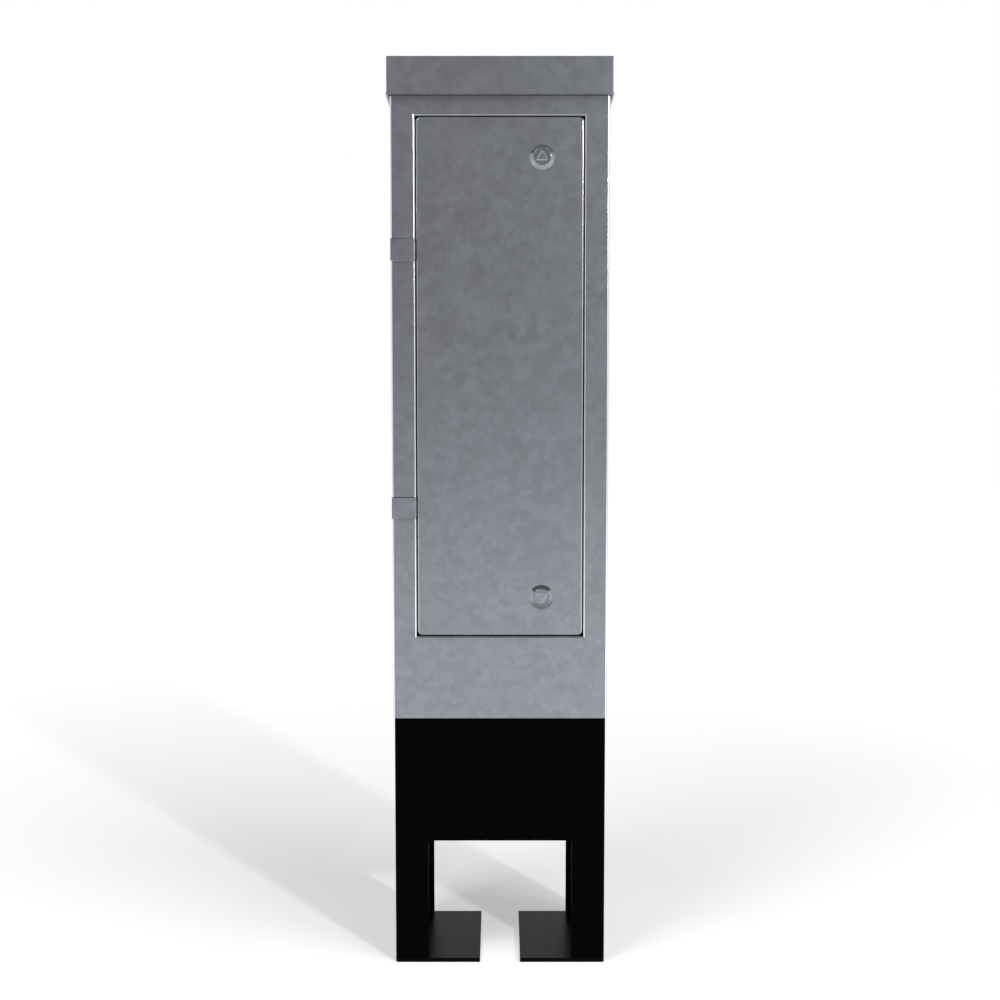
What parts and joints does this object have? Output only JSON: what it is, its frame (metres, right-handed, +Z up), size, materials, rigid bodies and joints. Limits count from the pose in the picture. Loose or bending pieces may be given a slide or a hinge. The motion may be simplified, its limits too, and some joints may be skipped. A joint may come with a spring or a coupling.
{
  "type": "feeder pillar",
  "caption": "Root-mounted galvanised feeder pillar with a sloping roof cap, a lockable hinged door, a backboard with switchgear inside and a buried root with cable windows.",
  "frame": {"origin": "on the ground under the middle of the cabinet", "axes": "+Z up, +X to the right seen from the door, +Y from the door into the cabinet"},
  "size_m": [0.31, 0.214, 1.2629],
  "materials": {
    "galvanised_steel": "hot-dip galvanised sheet with a soft spangle",
    "root_black": "black bitumen-type paint, satin",
    "zinc_hardware": "zinc-plated fasteners",
    "lock_zinc": "die-cast zinc lock, satin",
    "black_rubber": "matt black rubber",
    "foam_seal": "black sponge strip",
    "plywood": "varnished plywood",
    "aluminium_plate": "mill-finish aluminium",
    "brass": "machined brass",
    "black_moulding": "black phenolic moulding",
    "grey_moulding": "light grey moulding",
    "dark_lever": "dark lever moulding",
    "button_blue": "blue push button",
    "fuse_ceramic": "off-white ceramic"
  },
  "bodies": {
    "cabinet": {"root_frame": "root_black", "foot_plate_left": "root_black", "foot_plate_right": "root_black", "shell_studs": "zinc_hardware", "shell_nuts": "zinc_hardware", "gland_plate": "aluminium_plate", "gland_screws": "zinc_hardware", "cable_grommets": "black_rubber", "body_wrap": "galvanised_steel", "back_panel": "galvanised_steel", "back_skirt": "galvanised_steel", "back_rivets": "zinc_hardware", "door_stop": "galvanised_steel", "door_seal": "foam_seal", "top_frame": "galvanised_steel", "roof_cap": "galvanised_steel", "roof_seal": "foam_seal", "hinge_blocks": "galvanised_steel", "hinge_pins": "zinc_hardware", "hinge_washers": "zinc_hardware", "cabinet_earth_stud": "zinc_hardware", "backboard": "plywood", "board_studs": "zinc_hardware", "board_spacers": "zinc_hardware", "board_nuts": "zinc_hardware", "cutout_base": "black_moulding", "cutout_jaws": "brass", "earth_bar": "brass", "neutral_bar": "brass", "terminal_screws": "brass", "terminal_bar_posts": "grey_moulding", "din_rail": "zinc_hardware", "rail_screws": "zinc_hardware", "rail_end_stops": "grey_moulding", "isolator_body": "grey_moulding", "rcd_body": "grey_moulding", "breaker_body_1": "grey_moulding", "breaker_body_2": "grey_moulding"},
    "door": {"door_panel": "galvanised_steel", "door_stiffener": "galvanised_steel", "hinge_strap_upper": "galvanised_steel", "hinge_strap_lower": "galvanised_steel", "hinge_spacers": "galvanised_steel", "strap_rivets": "zinc_hardware", "door_earth_stud": "zinc_hardware", "lock_body_upper": "lock_zinc", "lock_body_lower": "lock_zinc", "lock_nuts": "zinc_hardware"},
    "upper_lock": {"lock_spindle_upper": "lock_zinc", "lock_cam_upper": "zinc_hardware"},
    "lower_lock": {"lock_spindle_lower": "lock_zinc", "lock_cam_lower": "zinc_hardware"},
    "fuse_carrier": {"fuse_carrier": "black_moulding", "carrier_blades": "brass", "service_fuse": "fuse_ceramic"},
    "isolator_lever": {"isolator_lever": "dark_lever"},
    "rcd_lever": {"rcd_lever": "dark_lever"},
    "rcd_test_button": {"rcd_test_button": "button_blue"},
    "breaker_lever_1": {"breaker_lever_1": "dark_lever"},
    "breaker_lever_2": {"breaker_lever_2": "dark_lever"}
  },
  "joints": [
    {"name": "door_hinge", "type": "hinge", "parent": "cabinet", "child": "door", "pos_m": [-0.1455, -0.094, 0.8265], "axis": [0, 0, -1], "range_deg": [0, 100]},
    {"name": "upper_lock_turn", "type": "hinge", "parent": "door", "child": "upper_lock", "pos_m": [0.0575, -0.0995, 1.129], "axis": [0, -1, 0], "range_deg": [0, 90]},
    {"name": "lower_lock_turn", "type": "hinge", "parent": "door", "child": "lower_lock", "pos_m": [0.0575, -0.0995, 0.5245], "axis": [0, 1, 0], "range_deg": [0, 90]},
    {"name": "fuse_carrier_pull", "type": "slide", "parent": "cabinet", "child": "fuse_carrier", "axis": [0, -1, 0], "range_m": [0, 0.045]},
    {"name": "isolator_lever_rock", "type": "hinge", "parent": "cabinet", "child": "isolator_lever", "pos_m": [-0.035, 0.014, 0.9], "axis": [1, 0, 0], "range_deg": [0, 70]},
    {"name": "rcd_lever_rock", "type": "hinge", "parent": "cabinet", "child": "rcd_lever", "pos_m": [0, 0.014, 0.9], "axis": [1, 0, 0], "range_deg": [0, 70]},
    {"name": "breaker_lever_1_rock", "type": "hinge", "parent": "cabinet", "child": "breaker_lever_1", "pos_m": [0.02625, 0.014, 0.9], "axis": [1, 0, 0], "range_deg": [0, 70]},
    {"name": "breaker_lever_2_rock", "type": "hinge", "parent": "cabinet", "child": "breaker_lever_2", "pos_m": [0.04375, 0.014, 0.9], "axis": [1, 0, 0], "range_deg": [0, 70]},
    {"name": "rcd_test_press", "type": "slide", "parent": "cabinet", "child": "rcd_test_button", "axis": [0, 1, 0], "range_m": [0, 0.0012], "stiffness_N_per_m": 300}
  ]
}
